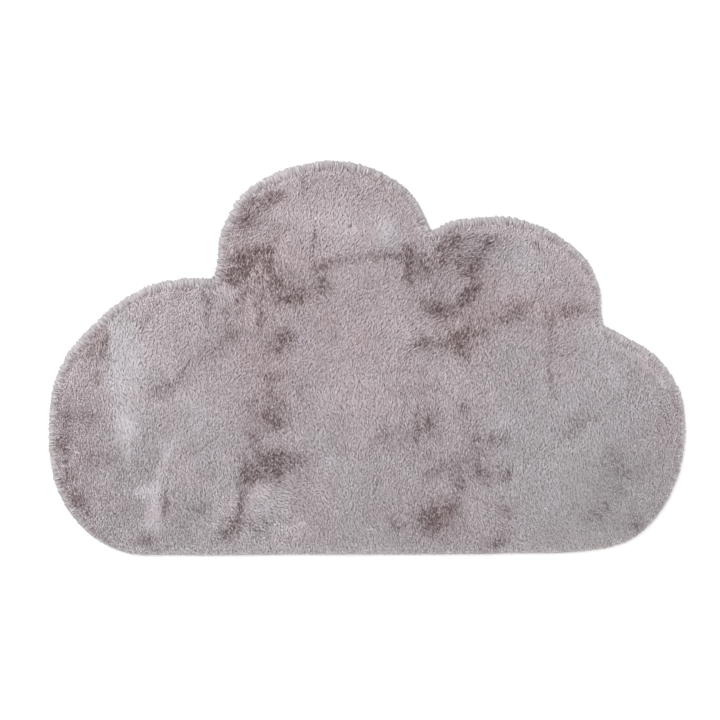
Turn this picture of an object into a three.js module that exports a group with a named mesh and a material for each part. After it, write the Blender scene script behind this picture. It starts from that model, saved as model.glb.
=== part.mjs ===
// A child's floor rug of short plush faux fur, cut in the outline of a cloud and lying flat with its pile up.
// Millimetres. +X runs along the nearly straight base, +Y from the base to the round upper lobes, +Z out of
// the pile. The origin is on the floor, under the middle of the rug's box.
//
// The rug is one piece of cloth, so it is one solid: a thin knitted ground whose underside lies flat, the
// lumpy mass of pile above it, and a feathered rim of locks that lean out past the ground's cut edge.
import * as THREE from 'three';
import { ConvexHull } from 'three/addons/math/ConvexHull.js';
import { SimplexNoise } from 'three/addons/math/SimplexNoise.js';

// Thickness, from the floor up
const GROUND = 3; // the knitted ground with its backing coat
const SHOULDER = 15; // top of the pile at the cut edge
const CROWN = 24.5; // top of the pile away from the rim, before the lumps

// The rim's slope, measured inwards from the cut edge
const SHOULDER_INSET = 3; // where the pile stands as high as the shoulder
const SLOPE_INSET = 18; // where a ring of points follows the slope
const ROUNDING = 45; // where the pile reaches its full height

// The locks of the rim, which reach from the ground's cut edge to the tip line
const LOCK_PITCH = 12; // along the rim
const FLARE = 10; // how far a lock reaches out where the nap runs along the edge
const NAP_LEAN = 6; // how much further or less where the nap runs across the edge
const NAP = new THREE.Vector2(-0.35, 0.94); // the way that the pile lies, seen from above
const LOCK_TIP = 7; // a tip's height above the floor
const LOCK_WAIST = 0.55; // a lock's width halfway along, as a share of its root
const LOCK_DROOP = 0.25; // how far down towards its tip a lock is when it is halfway out
const RAGGED = 3; // how far a tip strays from the even line

// Lumps: how far apart they lie, and how far they rise and fall
const LUMPS = [
  { span: 150, rise: 1.4 },
  { span: 50, rise: 1.4 },
];
const SHOULDER_LUMPS = [{ span: 40, rise: 1.5 }];
const LUMP_PITCH = 22; // between the points of the top face
const UNEVEN = 3.5; // how far a point of the top face strays from its lattice
const CREASE_WIDTH = 24; // from the bottom of a crease to where it fades out

// The tip line seen from above, counter-clockwise, as x and y. Each sweep is one smooth run of the shears
// between two notches of the cloud, and ends where the next one starts.
const SWEEPS = {
  upperRightLobe: [
    [482, 66], [477, 99], [474, 141], [444, 203], [374, 258], [289, 287], [207, 284], [164, 277], [131, 256],
  ],
  upperLeftLobe: [
    [131, 256], [118, 291], [83, 343], [15, 385], [-70, 402], [-165, 384], [-249, 337], [-296, 257],
    [-304, 200], [-311, 162],
  ],
  leftLobeBaseAndRightLobe: [
    [-311, 162], [-371, 163], [-460, 140], [-550, 75], [-626, -25], [-646, -146], [-628, -267], [-570, -352],
    [-493, -395], [-382, -401], [-150, -400], [65, -400], [278, -398], [458, -391], [543, -366], [608, -298],
    [645, -191], [640, -78], [591, 2], [523, 46], [482, 66],
  ],
};

// The soft troughs that are left where the rug was folded for packing, as x, y and the depth there
const CREASES = {
  westFold: [
    [-213, 300, 1], [-213, 221, 3.5], [-166, 119, 3], [-172, 38, 3.5], [-192, -125, 2.5], [-207, -222, 4.5],
    [-268, -349, 3],
  ],
  eastFold: [
    [221, 250, 2.5], [217, 160, 4], [184, 27, 4.5], [160, -125, 2], [185, -215, 3], [144, -329, 4],
    [150, -370, 2],
  ],
  upperFold: [[-115, 184, 2], [-34, 207, 2.5], [85, 191, 3], [217, 200, 3]],
  rightFold: [[217, 95, 2.5], [330, 85, 1.5], [455, 89, 2]],
  leftSlant: [[-425, -70, 1.5], [-350, -25, 2.5], [-270, 40, 1.5], [-166, 119, 1]],
};

// The shallow hollows where the pile has parted and lies flat, away from the folds
const HOLLOWS = [
  { x: -268, y: 174, radius: 36, depth: 3.5 },
  { x: -95, y: 160, radius: 40, depth: 1.5 },
  { x: 119, y: -135, radius: 60, depth: 2.5 },
  { x: 221, y: -186, radius: 35, depth: 2 },
  { x: 140, y: 205, radius: 32, depth: 2.5 },
  { x: 435, y: -135, radius: 60, depth: 1.5 },
  { x: 476, y: -300, radius: 50, depth: 1.5 },
  { x: -523, y: -213, radius: 45, depth: 2.5 },
  { x: -560, y: -60, radius: 45, depth: 2 },
  { x: -440, y: -340, radius: 40, depth: 1.5 },
];

THREE.MathUtils.seededRandom(11); // so that every build gives the same rug
const random = () => THREE.MathUtils.seededRandom();
const stray = (size) => (2 * random() - 1) * size;
const noise = new SimplexNoise({ random });

// The tip line as evenly spaced stations, each with its way out of the rug
function tipStations() {
  const stations = [];
  for (const points of Object.values(SWEEPS)) {
    const corners = points.map(([x, y]) => new THREE.Vector3(x, y, 0));
    const line = new THREE.CatmullRomCurve3(corners, false, 'centripetal');
    const count = Math.round(line.getLength() / LOCK_PITCH);
    for (let i = 0; i < count; i += 1) {
      const along = line.getTangentAt(i / count);
      stations.push({
        at: new THREE.Vector2().copy(line.getPointAt(i / count)),
        out: new THREE.Vector2(along.y, -along.x),
        isNotch: i === 0,
      });
    }
  }
  // A notch belongs to two sweeps, so its way out halves the angle between them
  stations.forEach(({ out, isNotch }, i) => {
    if (isNotch) out.add(stations.at(i - 1).out).normalize();
  });
  return stations;
}

const stations = tipStations();
const after = (i) => (i + 1) % stations.length;
const reach = (out) => FLARE + NAP_LEAN * out.dot(NAP);

// A ring of points that runs round the rug this far inside the ground's cut edge, at the heights given
function ring(inset, height) {
  return stations.map(({ at, out }) => {
    const p = at.clone().addScaledVector(out, -reach(out) - inset);
    return new THREE.Vector3(p.x, p.y, height(p));
  });
}

function lumpHeight(p, lumps) {
  return lumps.reduce((sum, { span, rise }) => sum + rise * noise.noise(p.x / span, p.y / span), 0);
}

// The point of a line that lies nearest to p: how far off it is, and the line's third value there
function nearestOnLine(p, points) {
  let nearest = { distance: Infinity };
  for (let i = 1; i < points.length; i += 1) {
    const [ax, ay, from] = points[i - 1];
    const [bx, by, to] = points[i];
    const side = new THREE.Vector2(bx - ax, by - ay);
    const reached = new THREE.Vector2(p.x - ax, p.y - ay);
    const share = THREE.MathUtils.clamp(reached.dot(side) / side.lengthSq(), 0, 1);
    const distance = reached.addScaledVector(side, -share).length();
    if (distance < nearest.distance) nearest = { distance, value: THREE.MathUtils.lerp(from, to, share) };
  }
  return nearest;
}

const fade = (distance, width) => Math.exp(-((distance / width) ** 2));

// The height of the pile at a point that lies this far inside the cut edge
function pileTop(p, inset) {
  const share = Math.min(inset / ROUNDING, 1);
  let relief = lumpHeight(p, LUMPS);
  for (const points of Object.values(CREASES)) {
    const { distance, value: depth } = nearestOnLine(p, points);
    relief -= depth * fade(distance, CREASE_WIDTH);
  }
  for (const { x, y, radius, depth } of HOLLOWS) {
    relief -= depth * fade(Math.hypot(p.x - x, p.y - y), radius);
  }
  return SHOULDER + (CROWN - SHOULDER) * Math.sqrt(1 - (1 - share) ** 2) + share * relief;
}

const floorEdge = ring(0, () => 0);
const groundEdge = ring(0, () => GROUND);
const shoulder = ring(SHOULDER_INSET, (p) => SHOULDER + lumpHeight(p, SHOULDER_LUMPS));

// The solid is gathered as corners in threes, each three counter-clockwise seen from outside
const corners = [];

function quad(a, b, c, d) {
  corners.push(a, b, c);
  corners.push(a, c, d);
}

function underside() {
  for (const [a, b, c] of THREE.ShapeUtils.triangulateShape(floorEdge, [])) {
    corners.push(floorEdge[c], floorEdge[b], floorEdge[a]);
  }
}

function groundWall() {
  stations.forEach((_, i) => quad(floorEdge[i], floorEdge[after(i)], groundEdge[after(i)], groundEdge[i]));
}

// A lock has four sides. It leaves the rim between two stations, narrows to a waist and ends in a point.
function lock(i) {
  const j = after(i);
  const root = [groundEdge[i], groundEdge[j], shoulder[j], shoulder[i]];
  const middle = root.reduce((sum, p) => sum.add(p), new THREE.Vector3()).divideScalar(root.length);
  const out = stations[i].out.clone().add(stations[j].out).normalize();
  const tipLine = stations[i].at.clone().lerp(stations[j].at, 0.5);
  tipLine.addScaledVector(out, stray(RAGGED));
  tipLine.addScaledVector(new THREE.Vector2(-out.y, out.x), stray(RAGGED));
  const tip = new THREE.Vector3(tipLine.x, tipLine.y, LOCK_TIP + stray(RAGGED));
  const halfway = middle.clone().lerp(tip, 0.5).setZ(THREE.MathUtils.lerp(middle.z, tip.z, LOCK_DROOP));
  const waist = root.map((p) => p.clone().sub(middle).multiplyScalar(LOCK_WAIST).add(halfway));
  root.forEach((p, k) => {
    const next = (k + 1) % root.length;
    quad(p, root[next], waist[next], waist[k]);
    corners.push(waist[k], waist[next], tip);
  });
}

function isInside(p, outline) {
  let inside = false;
  outline.forEach((a, i) => {
    const b = outline.at(i - 1);
    const crosses = a.y > p.y !== b.y > p.y;
    if (crosses && p.x < a.x + ((b.x - a.x) * (p.y - a.y)) / (b.y - a.y)) inside = !inside;
  });
  return inside;
}

// Points for the top face: a ring on the rim's slope, then an uneven lattice
function topPoints() {
  const found = ring(SLOPE_INSET, (p) => pileTop(p, SLOPE_INSET)).filter((_, i) => i % 2 === 0);
  const edge = [...floorEdge, floorEdge[0]].map((p) => [p.x, p.y, 0]);
  const row = LUMP_PITCH * Math.sqrt(0.75);
  const box = new THREE.Box3().setFromPoints(floorEdge);
  for (let y = box.min.y, shift = 0; y < box.max.y; y += row, shift = LUMP_PITCH / 2 - shift) {
    for (let x = box.min.x + shift; x < box.max.x; x += LUMP_PITCH) {
      const p = new THREE.Vector3(x + stray(UNEVEN), y + stray(UNEVEN), 0);
      const inset = nearestOnLine(p, edge).distance;
      if (inset < SLOPE_INSET + LUMP_PITCH / 2 || !isInside(p, floorEdge)) continue;
      found.push(p.setZ(pileTop(p, inset)));
    }
  }
  return found;
}

// The best fitting triangles between the points are those that look down once all points are lifted onto a
// round bowl and wrapped in their hull
function topFace() {
  const BOWL = 650; // its height at this distance from the middle is the same distance
  const lifted = new Map();
  for (const p of [...shoulder, ...topPoints()]) {
    lifted.set(new THREE.Vector3(p.x, p.y, (p.x * p.x + p.y * p.y) / BOWL), p);
  }
  for (const face of new ConvexHull().setFromPoints([...lifted.keys()]).faces) {
    if (face.normal.z >= 0 || !isInside(face.midpoint, shoulder)) continue;
    const [a, b, c] = [0, 1, 2].map((k) => lifted.get(face.getEdge(k).head().point));
    corners.push(c, b, a);
  }
}

underside();
groundWall();
stations.forEach((_, i) => lock(i));
topFace();

const geometry = new THREE.BufferGeometry().setFromPoints(corners);
geometry.computeBoundingBox();
const boxMiddle = geometry.boundingBox.getCenter(new THREE.Vector3());
geometry.translate(-boxMiddle.x, -boxMiddle.y, 0);
geometry.computeVertexNormals();

const fauxFur = new THREE.MeshStandardMaterial({ color: 0xa79fa2, roughness: 0.95, metalness: 0 });
const rug = new THREE.Mesh(geometry, fauxFur);
rug.name = 'fur_rug';

const part = new THREE.Group();
part.add(rug);

export default part;
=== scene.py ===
"""Dresses the cloud shaped faux fur rug: its knitted ground, underfur, pile and the fringe of its rim.

The solid from the frame gives the outline, the heights and the folds. Lengths are in metres. The tables of
what the pile shows are in millimetres, seen from above, with the middle of the rug's box at 0, 0.
"""

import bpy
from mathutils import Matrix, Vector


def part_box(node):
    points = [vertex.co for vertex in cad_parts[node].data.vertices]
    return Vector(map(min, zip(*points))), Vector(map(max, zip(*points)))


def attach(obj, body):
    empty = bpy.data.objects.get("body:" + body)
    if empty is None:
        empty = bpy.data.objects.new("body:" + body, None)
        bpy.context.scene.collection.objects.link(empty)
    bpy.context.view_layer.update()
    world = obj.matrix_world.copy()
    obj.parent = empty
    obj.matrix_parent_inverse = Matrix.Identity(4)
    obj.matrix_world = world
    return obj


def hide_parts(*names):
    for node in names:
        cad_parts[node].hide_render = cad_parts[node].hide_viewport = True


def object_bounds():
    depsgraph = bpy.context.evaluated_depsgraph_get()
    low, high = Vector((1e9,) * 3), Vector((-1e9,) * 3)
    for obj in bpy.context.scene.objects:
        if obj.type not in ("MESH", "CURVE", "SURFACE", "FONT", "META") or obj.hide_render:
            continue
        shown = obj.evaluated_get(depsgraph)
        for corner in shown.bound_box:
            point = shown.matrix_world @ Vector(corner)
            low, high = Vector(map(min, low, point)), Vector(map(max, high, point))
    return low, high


bl_info = {
    "name": "Cloud rug",
    "version": (1, 0, 0),
    "blender": (4, 5, 0),
    "location": "3D View > Sidebar > Cloud rug",
    "description": "Makes the ground, underfur, pile and fringe of a cloud shaped faux fur rug",
    "category": "Add Mesh",
}

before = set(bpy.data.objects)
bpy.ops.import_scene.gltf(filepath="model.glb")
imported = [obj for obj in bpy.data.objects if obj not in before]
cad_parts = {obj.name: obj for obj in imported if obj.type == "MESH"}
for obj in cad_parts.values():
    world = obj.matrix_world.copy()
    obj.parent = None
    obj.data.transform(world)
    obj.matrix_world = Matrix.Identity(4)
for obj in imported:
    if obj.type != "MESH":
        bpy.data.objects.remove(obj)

import functools
import math

import bmesh
import bpy
import numpy as np
from bpy.props import FloatProperty, FloatVectorProperty, IntProperty, PointerProperty
from mathutils import Vector
from mathutils.bvhtree import BVHTree
from mathutils.kdtree import KDTree

MM = 0.001
CAD_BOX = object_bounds()
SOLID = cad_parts["fur_rug"]

# How the photograph frames the rug, in its own pixels
PHOTO_PX = 720
RUG_MIDDLE_PX = (366.5, 358.5)
RUG_LONG_PX = 638

# The solid's own sizes
GROUND_TOP = 3 * MM
SHOULDER_INSET = 3 * MM
BED_FROM = 12.5 * MM  # what stands higher than this belongs to the top of the pile
FLARE = 10 * MM  # how far the fringe leans out past the cut edge
NAP_LEAN = 6 * MM  # how much further it leans out where the nap points outwards
NAP = (-0.35, 0.94)  # the way that the fur lies on the whole
NAP_AWAY = 0.9  # how squarely it points away from an edge where none of it turns over that edge
LOCK_TIP = 7 * MM  # the height of the fringe's tips

# How the fur is rooted and turns over the cut edge
UNDERFUR_SHARE = 0.55  # the underfur's height as a share of the pile's
UNDERFUR_SUNK = 0.8 * MM  # how far the underfur goes down into the ground
ROOT_SUNK = 1.5 * MM  # how far the pile's roots go down into the underfur
ROOT_INSET = 1 * MM  # how far inside the cut edge the outermost roots stand
FLANK = 5 * MM  # how much further out they stand where the pile lies away from the edge
FLANK_HEIGHT = (1 * MM, 6 * MM)  # how high up the flank its roots reach, at its foot and at the cut edge
TURN_OVER = 14 * MM  # how far inside the cut edge the pile begins to turn outwards
TURNED = 0.85  # how far it has turned at the cut edge
OUTWARD = 1.3  # how strongly the way out pulls there, against the nap
PILE_OVERHANG = (0.7, 1.05)  # the least and most of the fringe's overhang that the pile itself covers
PILE_DROOP = LOCK_TIP + 2 * MM  # the height of the pile's own tips where they hang over the edge

# How uneven the locks are: the usual difference, or the least and most share
PLACE_STRAY = 0.35  # how far a lock or wisp stands from its even place, as a share of the spacing
WISP_STRAY = 0.2  # in radians
WISP_REACH = (0.8, 1.15)
WISP_LIFT = 0.7 * MM
LOCK_STRAY = 0.25  # in radians
LOCK_REACH = (0.75, 1.15)
LOCK_LIFT = 0.6 * MM
LOCK_WIDTH = (0.7, 1.3)
LOCK_TWIST = 0.7  # in radians
LOCK_WARMTH = 0.05
FOLD_LIFT = 2.5 * MM  # how far a fold's wisps stand up or sink, by how pale or dark each is
RIDGE = 0.45  # the height of a lock's ridge as a share of its width

# The fringe's locks
FRINGE_REACH = (0.85, 1.25)  # the least and most of the overhang that a wisp reaches
FRINGE_SPREAD = 0.7  # how far a lock stands to the side of its wisp, in widths of a wisp
FRINGE_DEPTH = (1, 12)  # how far inside the cut edge the locks are rooted, in millimetres
FRINGE_HEIGHT = 11 * MM  # how high above the ground the topmost of them are
FRINGE_BEND = (0.08, 0.22)
LOWEST_TIP = 1.2 * MM

# How much a fold and a pressed patch add to the locks' sizes, and to how loosely they lie
FOLDED = {"reach": -0.45, "width": -0.3, "ridge": 0.4, "loose": 0.6}
PRESSED = {"reach": 0.4, "width": 0.5, "ridge": -0.65, "loose": -0.85}
PRESSED_FROM = 0.2  # the light at which the pile begins to lie flat
PRESSED_OVER = 0.5  # how much more light there is where it lies quite flat

# The pile's tone, from 0 for dark to 1 for pale, and what is added to it
PLAIN_TONE = 0.611
# Painted sheen: how much paler the pile is drawn where it is pressed flat and catches the light
PRESSED_SHEEN_TONE = 0.16
PRESSED_TONE = -0.1  # flat locks catch more light, so less of it is needed in their tone
# Painted shade: how much darker the pile is drawn in its folds
FOLD_SHADE_TONE = -0.62
# Painted light: how much paler the pile is drawn along its rim and at its cut edge, where its locks stand up
# and turn away from the light
RIM_LIGHT_TONE = 0.17
RIM_WIDTH = 28 * MM
EDGE_LIGHT_TONE = (0.06, 0.16)  # where the nap points away from the edge, and how much more where it points over it
EDGE_WIDTH = 11 * MM
# Painted shade: how much darker the pile is drawn where it parts down to its roots
PARTING_SHADE_TONE = -0.4
WISP_TONE = (0.03, 0.22)  # of each wisp by itself, in loose pile and in dark pile
LOCK_TONE = (0.12, 0.34)  # and of each lock

# The pile's warmth, from 0 for a cool grey to 1 for a warm brown, and what is added to it
PLAIN_WARMTH = 0.5
WARM_SPOT_WARMTH = 0.45
COOL_SPOT_WARMTH = -0.5
# Painted shade: the folds are drawn browner as well as darker, partly for the browner roots that show there
FOLD_SHADE_WARMTH = 0.3
EDGE_WARMTH = -0.5
BASE_WARMTH = -0.08

# The fringe hangs in the open and catches more light than the pile, so its own tone is darker
FRINGE_TONE = 0.185
FRINGE_OVER_TONE = -0.05  # what is added where the nap points over the edge
FRINGE_LOCK_TONE = 0.06
FRINGE_WARMTH = 0.25
PILE_TO_FRINGE = {"tone": 0.25, "warmth": 0.2}  # the share of the pile's that the fringe under it takes on

# Uneven clouds in what the pile shows: how strong, how wide and the seed
TONE_CLOUDS = [(0.03, 150 * MM, 1), (0.04, 45 * MM, 2), (0.03, 18 * MM, 3)]
STREAK_TONE = 0.03
STREAK_WIDTH = 13 * MM
STREAK_LENGTH = 4  # times the width, along Y
# These break up the folds' painted shade
FOLD_SHADE_CLOUDS = [(0.3, 12 * MM, 24), (0.3, 6 * MM, 25)]
WARMTH_CLOUDS = [(0.12, 160 * MM, 4), (0.08, 40 * MM, 5)]
NAP_CLOUDS = [(0.3, 120 * MM, 11), (0.3, 40 * MM, 12)]

# How the edges of what is drawn with the tables wander: how wide the bends are, how far they go and the seed
SHADE_BENDS = [(36 * MM, 6 * MM, 20), (11 * MM, 4 * MM, 22)]
WARMTH_BENDS = [(50 * MM, 20 * MM, 26)]
PARTING_BENDS = [(14 * MM, 2.5 * MM, 30)]

# How the pile is pushed aside and sinks along a parting
PARTING_WIDTH = 2.6 * MM
PARTING_PUSH = 3 * MM
PARTING_DEPTH = 4 * MM

CHART = (48, 8)  # columns of tone and rows of warmth in the map of the locks
WAVE_LENGTH = math.pi / 10  # of the wave texture's bands at a scale of 1
FIBRES = 4  # bundles of fibres that show along a lock

# Each studio lamp's name, place, width and power in watts
LAMPS = [
    ("key", (-1.6, 1.8, 2.6), 2.4, 85),
    ("fill", (2.0, -1.4, 2.6), 2.6, 25),
]


def colour(hex_code):
    """An sRGB hex colour as the linear colour that Blender works in."""
    parts = [int(hex_code[i : i + 2], 16) / 255 for i in (0, 2, 4)]
    return tuple(c / 12.92 if c <= 0.04045 else ((c + 0.055) / 1.055) ** 2.4 for c in parts)


class RugGroundSettings(bpy.types.PropertyGroup):
    thickness: FloatProperty(
        name="Thickness", description="Thickness of the knitted ground", default=2.5 * MM, unit="LENGTH"
    )
    stitch: FloatProperty(
        name="Stitch", description="Width of one knitted stitch", default=5 * MM, unit="LENGTH"
    )
    yarn: FloatVectorProperty(
        name="Yarn", description="Colour of the ground's yarn", default=colour("B3AAA8"), subtype="COLOR"
    )
    # Painted shade in the hollows between the yarns
    hollow_shade: FloatVectorProperty(
        name="Hollow", description="Colour between the yarns", default=colour("7F7573"), subtype="COLOR"
    )


class RugPileSettings(bpy.types.PropertyGroup):
    reach: FloatProperty(
        name="Reach",
        description="How far a lock leans over, seen from above",
        default=6.8 * MM,
        unit="LENGTH",
    )
    spacing: FloatProperty(
        name="Spacing", description="Distance between the locks", default=2.06 * MM, unit="LENGTH"
    )
    width: FloatProperty(
        name="Width", description="Width of a lock at its root", default=2.3 * MM, unit="LENGTH"
    )
    wisp: FloatProperty(
        name="Wisp",
        description="Distance between the wisps that locks gather into",
        default=3.1 * MM,
        unit="LENGTH",
    )
    gather: FloatProperty(
        name="Gather",
        description="How far a lock's tip is drawn to its wisp's",
        default=0.35,
        subtype="FACTOR",
    )
    nap: FloatProperty(
        name="Nap",
        description="The way that the pile lies, from +X",
        default=math.radians(80),
        unit="ROTATION",
    )
    fan_across: FloatProperty(
        name="Fan across",
        description="How much the nap turns over a metre along X, in radians",
        default=math.radians(30),
    )
    fan_along: FloatProperty(
        name="Fan along",
        description="How much the nap turns over a metre along Y, in radians",
        default=math.radians(-65),
    )
    strips: IntProperty(name="Strips", description="How many pieces the pile is made in", default=5)
    dark: FloatVectorProperty(
        name="Dark", description="Darkest tone of the fur", default=colour("62504F"), subtype="COLOR"
    )
    middle: FloatVectorProperty(
        name="Middle", description="Middle tone of the fur", default=colour("CAC9C9"), subtype="COLOR"
    )
    pale: FloatVectorProperty(
        name="Pale", description="Palest tone of the fur", default=colour("EFF1F1"), subtype="COLOR"
    )
    root: FloatVectorProperty(
        name="Root",
        description="What a lock's root keeps of its colour",
        default=colour("C4B2AE"),
        subtype="COLOR",
    )


class RugFringeSettings(bpy.types.PropertyGroup):
    wisp: FloatProperty(
        name="Wisp", description="Distance between the fringe's wisps", default=5 * MM, unit="LENGTH"
    )
    locks: IntProperty(name="Locks", description="How many locks each wisp has", default=22)
    width: FloatProperty(
        name="Width", description="Width of a lock at its root", default=2.2 * MM, unit="LENGTH"
    )
    gather: FloatProperty(
        name="Gather",
        description="How far a lock's tip is drawn to its wisp's",
        default=0.15,
        subtype="FACTOR",
    )


class RugStageSettings(bpy.types.PropertyGroup):
    floor: FloatVectorProperty(
        name="Floor", description="Colour of the floor", default=colour("F4F4F3"), subtype="COLOR"
    )
    daylight: FloatProperty(name="Daylight", description="Light from all round", default=1.0)
    camera_height: FloatProperty(
        name="Camera height", description="From the floor to the camera", default=3.0, unit="LENGTH"
    )


# Reading the solid


def merged_copy():
    """The solid as a new bmesh with its loose triangles joined."""
    solid = bmesh.new()
    solid.from_mesh(SOLID.data)
    bmesh.ops.remove_doubles(solid, verts=solid.verts, dist=0.001 * MM)
    return solid


def underside():
    """The flat underside of the solid as a new bmesh."""
    solid = merged_copy()
    above = [v for v in solid.verts if v.co.z > 0.1 * MM]
    bmesh.ops.delete(solid, geom=above, context="VERTS")
    return solid


@functools.cache
def cut_edge():
    """The outline of the solid's flat underside, as points in order round it."""
    flat = underside()
    first = next(e for e in flat.edges if e.is_boundary)
    vert, edge = first.verts[0], first
    points = []
    while not points or vert != first.verts[0]:
        points.append(vert.co.xy.copy())
        vert = edge.other_vert(vert)
        edge = next(e for e in vert.link_edges if e.is_boundary and e != edge)
    flat.free()
    return np.array(points)


def edge_runs():
    """The cut edge closed on itself, and how far along it each of its points lies."""
    loop = np.vstack([cut_edge(), cut_edge()[:1]])
    steps = np.hypot(*np.diff(loop, axis=0).T)
    return loop, np.concatenate([[0], np.cumsum(steps)])


class RugForm:
    """The rug's heights and the way to its cut edge, read off the solid on a square grid."""

    cell = 4 * MM
    margin = 24 * MM

    def __init__(self):
        low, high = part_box("fur_rug")
        self.low = np.array([low.x, low.y]) - self.margin
        self.size = np.ceil((np.array([high.x, high.y]) + self.margin - self.low) / self.cell).astype(int) + 1
        self.x = self.low[0] + self.cell * np.arange(self.size[0])
        self.y = self.low[1] + self.cell * np.arange(self.size[1])
        self.tops = self.read_tops(high.z)
        self.inset = self.read_inset(cut_edge())
        slope_y, slope_x = np.gradient(self.inset, self.cell)
        steep = np.hypot(slope_x, slope_y) + 1e-9
        self.out_x, self.out_y = -slope_x / steep, -slope_y / steep

    def read_tops(self, highest):
        mesh = SOLID.data
        tree = BVHTree.FromPolygons(
            [v.co for v in mesh.vertices], [p.vertices for p in mesh.polygons], all_triangles=True
        )
        down = Vector((0, 0, -1))
        tops = np.zeros((self.size[1], self.size[0]))
        for j, y in enumerate(self.y):
            for i, x in enumerate(self.x):
                hit = tree.ray_cast(Vector((x, y, 2 * highest)), down)[0]
                if hit:
                    tops[j, i] = hit.z
        return tops

    def read_inset(self, edge):
        """How far each point of the grid lies inside the cut edge, and below 0 outside it."""
        x, y = np.meshgrid(self.x, self.y)
        nearest = np.full(x.shape, np.inf)
        inside = np.zeros(x.shape, bool)
        for (ax, ay), (bx, by) in zip(edge, np.roll(edge, -1, axis=0)):
            side_x, side_y = bx - ax, by - ay
            share = ((x - ax) * side_x + (y - ay) * side_y) / (side_x**2 + side_y**2)
            share = np.clip(share, 0, 1)
            nearest = np.minimum(nearest, np.hypot(x - ax - share * side_x, y - ay - share * side_y))
            if ay != by:
                crossed = ((ay > y) != (by > y)) & (x < ax + side_x * (y - ay) / side_y)
                inside ^= crossed
        return np.where(inside, nearest, -nearest)

    def at(self, grid, x, y):
        """The grid's values at these points, blended between its cells."""
        u = np.clip((x - self.low[0]) / self.cell, 0, self.size[0] - 1.001)
        v = np.clip((y - self.low[1]) / self.cell, 0, self.size[1] - 1.001)
        i, j = u.astype(int), v.astype(int)
        u, v = u - i, v - j
        lower = grid[j, i] * (1 - u) + grid[j, i + 1] * u
        upper = grid[j + 1, i] * (1 - u) + grid[j + 1, i + 1] * u
        return lower * (1 - v) + upper * v

    def outward(self, x, y):
        """The way straight out to the cut edge from these points."""
        return self.at(self.out_x, x, y), self.at(self.out_y, x, y)

    def overhang(self, x, y):
        """How far the fringe reaches past the cut edge here."""
        out_x, out_y = self.outward(x, y)
        return FLARE + NAP_LEAN * (out_x * NAP[0] + out_y * NAP[1])


@functools.cache
def rug_form():
    return RugForm()


# Uneven fields


def smooth(t):
    """From 0 to 1 with a soft start and end."""
    t = np.clip(t, 0, 1)
    return t * t * (3 - 2 * t)


def clouds(x, y, span, seed):
    """A smooth random field from -1 to 1 whose clouds are about span across."""
    cells = 128
    lattice = np.random.default_rng(seed).uniform(-1, 1, (cells, cells))
    u, v = x / span, y / span
    i, j = np.floor(u).astype(int), np.floor(v).astype(int)
    u, v = smooth(u - i), smooth(v - j)

    def corner(k, l):
        return lattice[(j + l) % cells, (i + k) % cells]

    lower = corner(0, 0) * (1 - u) + corner(1, 0) * u
    upper = corner(0, 1) * (1 - u) + corner(1, 1) * u
    return lower * (1 - v) + upper * v


def mottled(start, x, y, clouding):
    """start with uneven clouds added, each given as how strong it is, how wide and its seed."""
    return sum((size * clouds(x, y, span, seed) for size, span, seed in clouding), start)


def wander(x, y, bends):
    """Moves points by each of the bends, which gives what is drawn with them an uneven edge."""
    for span, size, seed in bends:
        x, y = x + size * clouds(x, y, span, seed), y + size * clouds(x, y, span, seed + 1)
    return x, y


# What the pile shows from above. Each spot is a soft oval, and its turn is its length's, in degrees from +X

# Painted shade of the folds and hollows in the pile, where it sinks and shows its browner roots: these spots
# darken its tone
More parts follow.
